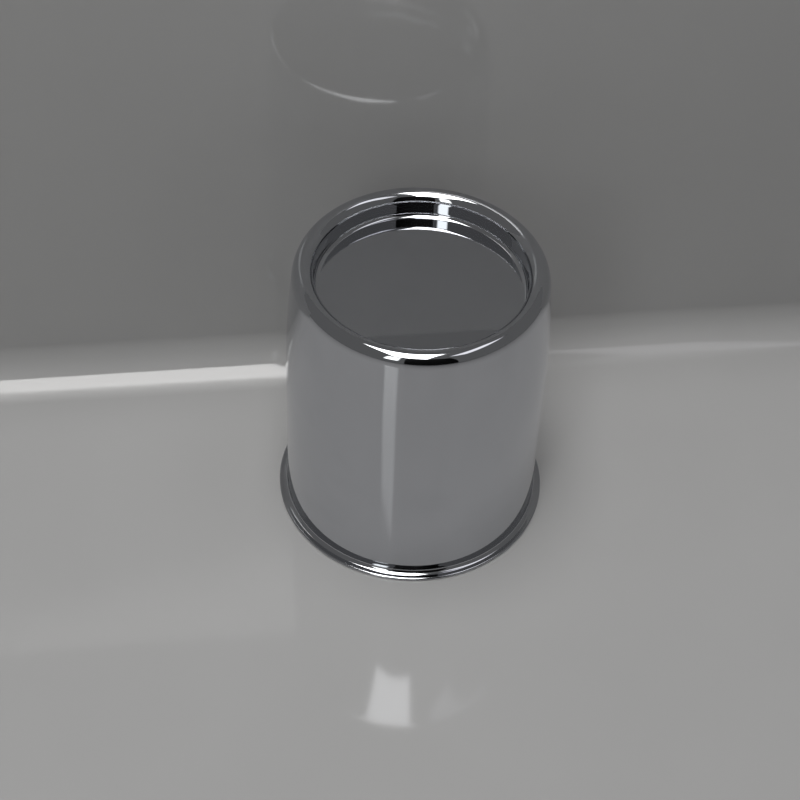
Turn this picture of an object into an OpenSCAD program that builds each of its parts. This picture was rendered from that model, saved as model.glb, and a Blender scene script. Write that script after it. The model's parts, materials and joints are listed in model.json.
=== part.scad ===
/* [Shell] */
// Height from the flange's rest face to the crown of the rim
cap_h = 94.3; // [60:0.1:130]
// Thickness of the drawn sheet, the same all over
sheet_t = 1; // [0.8:0.1:1.4]

/* [Seat] */
// Outside diameter of the straight skirt that fills the wheel's centre bore
seat_d = 80.6; // [70:0.1:110]
// How far the flange stands out from the skirt
flange_w = 2.8; // [2.4:0.1:8]
// Radius of the bend between the skirt and the flange's upper face
flange_bend_r = 1.5; // [0.6:0.1:1.8]

/* [Closed end] */
// Radius of the long crown that leans the side inwards above the straight skirt
side_r = 370; // [120:10:600]
// Radius of the shoulder between the side and the rim
shoulder_r = 7.2; // [4:0.1:12]
// Slope of the shoulder where it runs into the rim, in degrees from upright
shoulder_a = 24; // [16:1:40]
// Radius of the rolled rim
rim_r = 3.1; // [2.2:0.1:5]
// How far the rim's roll lies in from the skirt
rim_inset = 2.4; // [1.4:0.1:5]
// Depth of the flat disc below the crown of the rim
recess_depth = 7.6; // [6:0.1:25]
// Radius of the bend between the recess wall and the disc
recess_bend_r = 1.5; // [0.6:0.1:2.8]

/* [Hidden] */
// Degrees turned by one step of a bend in the outline
bend_step = 6;
// Degrees turned by one step of the long crown
crown_step = 0.8;
// Steps of a full turn about the axis
$fn = 180;

seat_r = seat_d / 2;
flange_r = seat_r + flange_w;
recess_r = seat_r - rim_inset - 2 * rim_r;
floor_z = cap_h - recess_depth;

// The crown's lean is what brings its foot out to the skirt with every curve running on smoothly
side_a = acos((side_r - rim_inset - rim_r - (shoulder_r - rim_r) * cos(shoulder_a)) / (side_r - shoulder_r));

// Centres of the curves in the half section, as [radius, height], from the rim outwards and down
rim_c = [recess_r + rim_r, cap_h - rim_r];
shoulder_c = rim_c - (shoulder_r - rim_r) * [cos(shoulder_a), sin(shoulder_a)];
side_c = shoulder_c - (side_r - shoulder_r) * [cos(side_a), sin(side_a)];
flange_bend_c = [seat_r + flange_bend_r, sheet_t + flange_bend_r];
recess_bend_c = [recess_r - recess_bend_r, floor_z + recess_bend_r];

// Points round the centre c at radius r, from angle a0 to a1 in steps of about the given size
function curve(c, r, a0, a1, step = bend_step) =
    let (n = ceil(abs(a1 - a0) / step))
    [for (i = [0:n]) let (a = a0 + (a1 - a0) * i / n) c + r * [cos(a), sin(a)]];

function backwards(points) = [for (i = [len(points) - 1:-1:0]) points[i]];

// One face of the sheet from the flange to the axis. It lies at depth d under the outer face,
// so the curves that bulge outwards tighten by d and the two inward bends open by d.
function face(d) = concat(
    curve(flange_bend_c, flange_bend_r + d, 270, 180),
    curve(side_c, side_r - d, 0, side_a, crown_step),
    curve(shoulder_c, shoulder_r - d, side_a, shoulder_a),
    curve(rim_c, rim_r - d, shoulder_a, 180),
    curve(recess_bend_c, recess_bend_r + d, 0, -90),
    [[0, floor_z - d]]
);

// Rounded cut edge of the flange, from the rest face up to the upper face
function flange_edge() = curve([flange_r - sheet_t / 2, sheet_t / 2], sheet_t / 2, -90, 90);

// The whole cap is one drawn cup: flange, skirt, shoulder, rolled rim and recessed disc
module cap_shell()
    color("silver")
        rotate_extrude()
            polygon(concat(flange_edge(), face(0), backwards(face(sheet_t))));

cap_shell();
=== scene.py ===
import json
import math

import bpy
import numpy as np
from mathutils import Matrix, Vector


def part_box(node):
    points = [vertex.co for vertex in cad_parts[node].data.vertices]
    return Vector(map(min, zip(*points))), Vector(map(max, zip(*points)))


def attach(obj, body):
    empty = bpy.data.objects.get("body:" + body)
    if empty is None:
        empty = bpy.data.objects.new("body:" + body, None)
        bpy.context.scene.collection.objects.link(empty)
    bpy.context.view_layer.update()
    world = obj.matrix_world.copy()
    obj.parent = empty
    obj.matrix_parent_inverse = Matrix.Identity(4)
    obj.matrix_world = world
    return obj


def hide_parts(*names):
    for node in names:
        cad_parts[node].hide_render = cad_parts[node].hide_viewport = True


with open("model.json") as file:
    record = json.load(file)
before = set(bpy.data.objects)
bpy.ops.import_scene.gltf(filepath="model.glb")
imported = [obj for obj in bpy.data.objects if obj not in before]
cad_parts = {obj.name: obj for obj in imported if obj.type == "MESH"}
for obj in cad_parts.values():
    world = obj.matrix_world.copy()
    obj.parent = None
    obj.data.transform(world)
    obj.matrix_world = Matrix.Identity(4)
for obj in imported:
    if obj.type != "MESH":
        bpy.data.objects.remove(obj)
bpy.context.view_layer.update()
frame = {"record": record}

MM = 0.001
low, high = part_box("cap_shell")
mounts = {m["name"]: m for m in frame["record"]["mounts"]}

# Sizes of the pressing that the frame gives, in metres
CAP_H = high.z
FLANGE_R = high.x
SEAT_R = mounts["seat"]["dims"]["r_mm"] * MM
SHEET = mounts["flange_stop"]["pos_m"][2]
DISC_Z = mounts["recess_disc"]["pos_m"][2]

# Radii of its bends and rolls, and how far the rim lies in from the skirt
FLANGE_BEND_R = 1.5 * MM
SIDE_R = 370 * MM
SHOULDER_R = 7.2 * MM
SHOULDER_A = math.radians(24)
RIM_R = 3.1 * MM
RIM_INSET = 2.4 * MM
RECESS_BEND_R = 1.5 * MM

# Facets round the axis
TURN_STEPS = 288

# The board that the cap stands on: its bend starts just behind the flange and runs off to the right and back
BOARD_TURN = math.radians(9.3)
BEND_START = 43.9 * MM
BEND_R = 14 * MM
BACK_H = 165 * MM
BACK_HALF_W = 320 * MM
FLOOR_HALF = 3.0
FLOOR_Z = -0.05 * MM

# The camera, worked out from the ellipses of the flange and the rim
CAMERA_AT = Vector((0, -376.7 * MM, 441.7 * MM))
CAMERA_PITCH = math.radians(47.05)
CAMERA_YAW = math.radians(-0.69)
CAMERA_ROLL = math.radians(2.75)
CAMERA_LENS = 78.75


# Geometry


def arc(centre, radius, start, end, steps):
    """Points on a circle in the half section, from one angle to another, and the way its outside faces there."""
    angle = np.radians(np.linspace(start, end, steps + 1))
    out = np.stack([np.cos(angle), np.sin(angle)], 1)
    return np.array(centre) + radius * out, out


def cap_section():
    """The closed half section of the sheet as points [radius, height] with their normals.

    It runs from the axis out over the disc, up the recess, round the rim, down the side, out over the flange, round
    its edge and back up the inside. The inner face is the outer one moved in by the sheet's thickness.
    """
    recess_r = SEAT_R - RIM_INSET - 2 * RIM_R
    rim = np.array([recess_r + RIM_R, CAP_H - RIM_R])
    toward = np.array([math.cos(SHOULDER_A), math.sin(SHOULDER_A)])
    shoulder = rim - (SHOULDER_R - RIM_R) * toward
    lean = math.acos((shoulder[0] - SEAT_R + SIDE_R) / (SIDE_R - SHOULDER_R))
    side = shoulder - (SIDE_R - SHOULDER_R) * np.array([math.cos(lean), math.sin(lean)])
    recess = np.array([recess_r - RECESS_BEND_R, DISC_Z + RECESS_BEND_R])
    flange = np.array([SEAT_R + FLANGE_BEND_R, SHEET + FLANGE_BEND_R])
    lean, slope = math.degrees(lean), math.degrees(SHOULDER_A)
    up = np.array([[0.0, 1.0]])

    def face(depth):
        """One face of the sheet, at a depth under the outer one. Hollow bends face their own centre."""
        bend, bend_n = arc(recess, RECESS_BEND_R + depth, -90, 0, 14)
        roll, roll_n = arc(rim, RIM_R - depth, 180, slope, 52)
        turn, turn_n = arc(shoulder, SHOULDER_R - depth, slope, lean, 12)
        body, body_n = arc(side, SIDE_R - depth, lean, 0, 24)
        foot, foot_n = arc(flange, FLANGE_BEND_R + depth, 180, 270, 16)
        disc = np.stack([np.linspace(0, recess[0], 25)[:-1], np.full(24, DISC_Z - depth)], 1)
        skirt = np.stack([np.full(9, body[-1, 0]), np.linspace(body[-1, 1], foot[0, 1], 11)[1:-1]], 1)
        points = [disc, bend, roll, turn[1:], body[1:], skirt, foot]
        level = np.tile([[1.0, 0.0]], (len(skirt), 1))
        normals = [np.repeat(up, 24, 0), -bend_n, roll_n, turn_n[1:], body_n[1:], level, -foot_n]
        return np.concatenate(points), np.concatenate(normals)

    edge, edge_n = arc([FLANGE_R - SHEET / 2, SHEET / 2], SHEET / 2, 90, -90, 10)
    outer, outer_n = face(0)
    inner, inner_n = face(SHEET)
    points = np.concatenate([outer, edge, inner[::-1]])
    normals = np.concatenate([outer_n, edge_n, -inner_n[::-1]])
    inside = np.arange(len(points)) >= len(outer) + len(edge)
    return points, normals, inside


def new_mesh(name, points, faces, normals=None):
    """An object at the origin from an array of points, with smooth faces and, where given, exact normals."""
    mesh = bpy.data.meshes.new(name)
    mesh.from_pydata(points.reshape(-1, 3), [], faces)
    mesh.polygons.foreach_set("use_smooth", np.ones(len(mesh.polygons), bool))
    if normals is not None:
        mesh.normals_split_custom_set_from_vertices(normals.reshape(-1, 3))
    mesh.update()
    piece = bpy.data.objects.new(name, mesh)
    bpy.context.scene.collection.objects.link(piece)
    return piece


def turned_shell(name, points, normals, steps):
    """A closed surface of revolution. Point i of the section at turn angle a is [r sin a, -r cos a, z].

    The section starts and ends on the axis, where all copies of its end point are one vertex.
    """
    angle = np.linspace(0, 2 * math.pi, steps, endpoint=False)
    way = np.stack([np.sin(angle), -np.cos(angle)], 1)

    def around(section):
        ring = section[1:-1]
        flat = ring[:, None, :1] * way[None]
        rise = np.repeat(ring[:, None, 1:], steps, 1)
        return np.concatenate([flat, rise], 2).reshape(-1, 3)

    def on_axis(row):
        return np.array([[0, 0, row[1]]])

    verts = np.concatenate([around(points), on_axis(points[0]), on_axis(points[-1])])
    facing = np.concatenate([around(normals), on_axis(normals[0]), on_axis(normals[-1])])
    rings = len(points) - 2
    i, j = np.meshgrid(np.arange(rings - 1), np.arange(steps), indexing="ij")
    k = (j + 1) % steps
    quads = np.stack([i * steps + j, (i + 1) * steps + j, (i + 1) * steps + k, i * steps + k], -1).reshape(-1, 4)
    j = np.arange(steps)
    k = (j + 1) % steps
    first, last = rings * steps, rings * steps + 1
    start = np.stack([np.full(steps, first), j, k], 1)
    end_ring = (rings - 1) * steps
    end = np.stack([end_ring + j, np.full(steps, last), end_ring + k], 1)
    return new_mesh(name, verts, quads.tolist() + start.tolist() + end.tolist(), facing)


def swept_strip(name, line, half_width, columns=2):
    """A line of points [distance behind the axis, height] carried sideways along the board's fold."""
    across = np.array([math.cos(BOARD_TURN), math.sin(BOARD_TURN), 0])
    behind = np.array([-math.sin(BOARD_TURN), math.cos(BOARD_TURN), 0])
    along = np.linspace(-half_width, half_width, columns)
    base = line[:, :1] * behind + line[:, 1:] * np.array([0, 0, 1])
    grid = base[:, None] + along[None, :, None] * across
    i, j = np.meshgrid(np.arange(len(line) - 1), np.arange(columns - 1), indexing="ij")
    a = i * columns + j
    quads = np.stack([a, a + 1, a + columns + 1, a + columns], -1).reshape(-1, 4)
    return new_mesh(name, grid, quads.tolist())


def card(name, centre, right, up):
    """A flat rectangle from its centre and the two half sides as vectors. It faces along right x up."""
    centre, right, up = (np.array(v, float) for v in (centre, right, up))
    corners = np.array([centre - right - up, centre + right - up, centre + right + up, centre - right + up])
    return new_mesh(name, corners, [[0, 1, 2, 3]])


# Materials


class Socket:
    """A node's output that can stand in an expression. Each operator adds a Math node."""

    def __init__(self, shader, output):
        self.shader, self.output = shader, output

    def math(self, operation, *values):
        return self.shader.node("ShaderNodeMath", {"operation": operation}, *values)

    def __add__(self, other):
        return self.math("ADD", self, other)

    def __radd__(self, other):
        return self.math("ADD", other, self)

    def __sub__(self, other):
        return self.math("SUBTRACT", self, other)

    def __rsub__(self, other):
        return self.math("SUBTRACT", other, self)

    def __mul__(self, other):
        return self.math("MULTIPLY", self, other)

    def __rmul__(self, other):
        return self.math("MULTIPLY", other, self)

    def __truediv__(self, other):
        return self.math("DIVIDE", self, other)

    def __pow__(self, other):
        return self.math("POWER", self, other)

    def below(self, other):
        return self.math("LESS_THAN", self, other)

    def above(self, other):
        return self.math("GREATER_THAN", self, other)

    def smooth(self, start, end):
        """0 at start and 1 at end, with a smooth rise between them."""
        settings = {"interpolation_type": "SMOOTHSTEP"}
        return self.shader.node("ShaderNodeMapRange", settings, self, start, end, 0.0, 1.0)


class Shader:
    """A material's node tree, built with one method."""

    def __init__(self, name):
        self.material = bpy.data.materials.new(name)
        self.material.use_nodes = True
        self.tree = self.material.node_tree
        self.tree.nodes.clear()

    def node(self, kind, settings=None, *values, output=0, **named):
        """Adds a node: its settings first, then its sockets by order or by name. Gives one of its outputs."""
        made = self.tree.nodes.new(kind)
        for key, value in (settings or {}).items():
            setattr(made, key, value)
        pairs = list(zip(made.inputs, values))
        pairs += [(made.inputs[key.replace("_", " ")], value) for key, value in named.items()]
        for socket, value in pairs:
            if isinstance(value, Socket):
                self.tree.links.new(value.output, socket)
            elif value is not None:
                socket.default_value = value
        return Socket(self, made.outputs[output])

    def place(self):
        return self.node("ShaderNodeTexCoord", output="Object")

    def axes(self, vector):
        return [self.node("ShaderNodeSeparateXYZ", None, vector, output=i) for i in range(3)]

    def noise(self, vector, scale, detail=2.0, roughness=0.5):
        return self.node("ShaderNodeTexNoise", None, Vector=vector, Scale=scale, Detail=detail, Roughness=roughness)

    def mix(self, factor, low_colour, high_colour):
        settings = {"data_type": "RGBA"}
        made = self.node("ShaderNodeMix", settings, factor, output=2)
        node = made.output.node
        for socket, value in ((node.inputs[6], low_colour), (node.inputs[7], high_colour)):
            if isinstance(value, Socket):
                self.tree.links.new(value.output, socket)
            else:
                socket.default_value = value
        return made

    def finish(self, surface):
        out = self.tree.nodes.new("ShaderNodeOutputMaterial")
        self.tree.links.new(surface.output, out.inputs["Surface"])
        return self.material


def chrome():
    """Bright chrome plate."""
    s = Shader("bright_chrome")
    place = s.place()
    smear = s.noise(place, 45.0, 3.0).smooth(0.45, 0.75)
    roughness = 0.03 + 0.05 * smear
    colour = s.mix(smear, (0.555, 0.565, 0.59, 1), (0.53, 0.54, 0.565, 1))
    wave = s.noise(place, 160.0, 1.0)
    bump = s.node("ShaderNodeBump", None, Strength=1.0, Distance=1.5e-6, Height=wave)
    return s.finish(
        s.node("ShaderNodeBsdfPrincipled", None, Base_Color=colour, Metallic=1.0, Roughness=roughness, Normal=bump)
    )


def inside_plate():
    """The duller plate inside the cup."""
    s = Shader("inside_plate")
    place = s.place()
    grain = s.noise(place, 300.0, 3.0)
    roughness = 0.3 + 0.15 * grain
    colour = s.mix(grain, (0.42, 0.42, 0.43, 1), (0.5, 0.5, 0.51, 1))
    return s.finish(s.node("ShaderNodeBsdfPrincipled", None, Base_Color=colour, Metallic=1.0, Roughness=roughness))


def board_paint(one_sided=False):
    """Pale glossy board. One-sided, it can be seen through from behind."""
    s = Shader("board_back" if one_sided else "board_floor")
    cloud = s.noise(s.place(), 12.0, 3.0)
    colour = s.mix(cloud, (0.37, 0.37, 0.37, 1), (0.41, 0.41, 0.41, 1))
    paint = s.node("ShaderNodeBsdfPrincipled", None, Base_Color=colour, Roughness=0.07)
    if not one_sided:
        return s.finish(paint)
    behind = s.node("ShaderNodeNewGeometry", output="Backfacing")
    clear = s.node("ShaderNodeBsdfTransparent", None)
    return s.finish(s.node("ShaderNodeMixShader", None, behind, paint, clear))


def lamp_face(name, strength, colour, centre, half, edge):
    """A soft-edged lamp: its light falls off near the sides of a rectangle lying in x and y or in x and z."""
    s = Shader(name)
    x, y, z = s.axes(s.place())
    mask = 1.0
    for value, middle, reach in zip((x, y, z), centre, half):
        if reach:
            away = (value - middle).math("ABSOLUTE", value - middle)
            mask = away.smooth(reach, reach - edge) * mask
    light = s.node("ShaderNodeEmission", None, Color=(*colour, 1), Strength=mask * strength)
    return s.finish(light)


def flat_black():
    s = Shader("black_flag")
    return s.finish(s.node("ShaderNodeBsdfDiffuse", None, Color=(0.01, 0.01, 0.01, 1)))


# The cap

points, normals, inside = cap_section()
shell = turned_shell("plated_shell", points, normals, TURN_STEPS)
shell.data.materials.append(chrome())
shell.data.materials.append(inside_plate())
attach(shell, "root")
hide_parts("cap_shell")

# The board

floor = swept_strip("floor", np.array([[-FLOOR_HALF, FLOOR_Z], [FLOOR_HALF, FLOOR_Z]]), FLOOR_HALF)
floor.data.materials.append(board_paint())
curve, _ = arc([BEND_START, BEND_R], BEND_R, -90, 0, 24)
rise = np.array([[BEND_START + BEND_R, BACK_H]])
backdrop = swept_strip("backdrop", np.concatenate([curve, rise]), BACK_HALF_W)
backdrop.data.materials.append(board_paint(one_sided=True))

# The lamps and the black flag

lamps = [
    ("main_lamp", 8.0, (1, 0.99, 0.98), (-0.075, -0.24, 1.1), (0.225, 0.46, 0), 0.03),
    ("strip_lamp", 1.5, (0.97, 0.96, 1), (0.42, -0.02, 1.1), (0.13, 0.38, 0), 0.06),
    ("window", 3.0, (0.98, 1, 0.98), (-0.27, -0.75, 0.6), (0.1, 0, 0.32), 0.04),
]
for name, strength, colour, centre, half, edge in lamps:
    flat = half[1] > 0
    up = (0, -half[1], 0) if flat else (0, 0, half[2])
    facing_right = (half[0], 0, 0) if flat else (-half[0], 0, 0)
    lamp = card(name, centre, facing_right, up)
    lamp.data.materials.append(lamp_face(name, strength, colour, centre, half, edge))
    lamp.visible_camera = False
flag = card("black_flag", (0.18, -0.8, 0.62), (-0.31, 0, 0), (0, 0, 0.58))
flag.data.materials.append(flat_black())
flag.visible_camera = False

world = bpy.data.worlds.new("room")
bpy.context.scene.world = world
world.use_nodes = True
world.node_tree.nodes["Background"].inputs["Color"].default_value = (0.135, 0.135, 0.135, 1)

# The camera

forward = Vector((
    math.sin(CAMERA_YAW) * math.cos(CAMERA_PITCH),
    math.cos(CAMERA_YAW) * math.cos(CAMERA_PITCH),
    -math.sin(CAMERA_PITCH),
))
level = forward.cross(Vector((0, 0, 1))).normalized()
above = level.cross(forward)
right = math.cos(CAMERA_ROLL) * level + math.sin(CAMERA_ROLL) * above
upward = -math.sin(CAMERA_ROLL) * level + math.cos(CAMERA_ROLL) * above
camera = bpy.data.objects.new("camera", bpy.data.cameras.new("camera"))
bpy.context.scene.collection.objects.link(camera)
camera.data.lens = CAMERA_LENS
camera.data.sensor_width = 36
turn = Matrix((right, upward, -forward)).transposed()
camera.matrix_world = Matrix.Translation(CAMERA_AT) @ turn.to_4x4()
bpy.context.scene.camera = camera
bpy.context.scene.view_settings.view_transform = "Standard"
